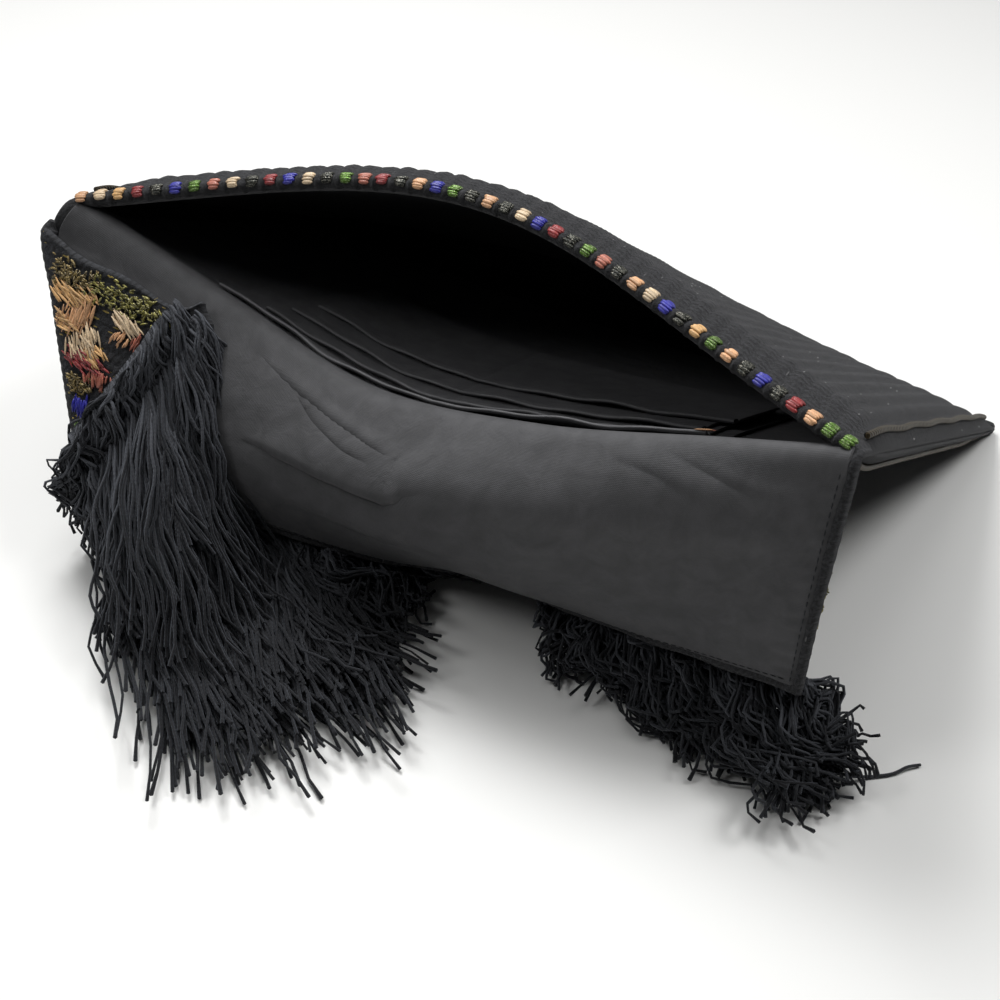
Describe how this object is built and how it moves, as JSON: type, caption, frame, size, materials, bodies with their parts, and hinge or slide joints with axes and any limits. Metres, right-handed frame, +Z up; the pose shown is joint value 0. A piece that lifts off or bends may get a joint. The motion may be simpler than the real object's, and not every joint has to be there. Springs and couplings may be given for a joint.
{
  "type": "woven fringed clutch purse",
  "caption": "Soft woven envelope clutch standing open like a tent, with a lined card-slot pouch, a flap with a folded corner, a colour-float rim and a long hem fringe.",
  "frame": {"origin": "middle of the outline on the floor that the clutch stands on", "axes": "+X along the mouth to the right, +Y back from the flap to the pouch's bottom edge, +Z up"},
  "size_m": [0.3044, 0.2692, 0.121],
  "materials": {
    "black_weave": "thick matte black ribs with sparse silver lurex",
    "black_twill": "matte cotton twill",
    "pocket_twill": "matte cotton twill with pressed hems",
    "coloured_floats": "satin and lurex floats in many colours over a black roll",
    "bronze_cord": "twisted bronze lurex",
    "fringe_cotton": "matte plied cotton strands"
  },
  "bodies": {
    "root": {"woven_shell": "black_weave", "back_lining": "black_twill", "front_lining": "black_twill", "card_pocket_1": "pocket_twill", "card_pocket_2": "pocket_twill", "card_pocket_3": "pocket_twill", "card_pocket_4": "pocket_twill", "rim_braid": "coloured_floats", "side_cord_front_left": "bronze_cord", "side_cord_back_left": "bronze_cord", "side_cord_front_right": "bronze_cord", "side_cord_back_right": "bronze_cord", "hem_fringe": "fringe_cotton"}
  },
  "joints": []
}
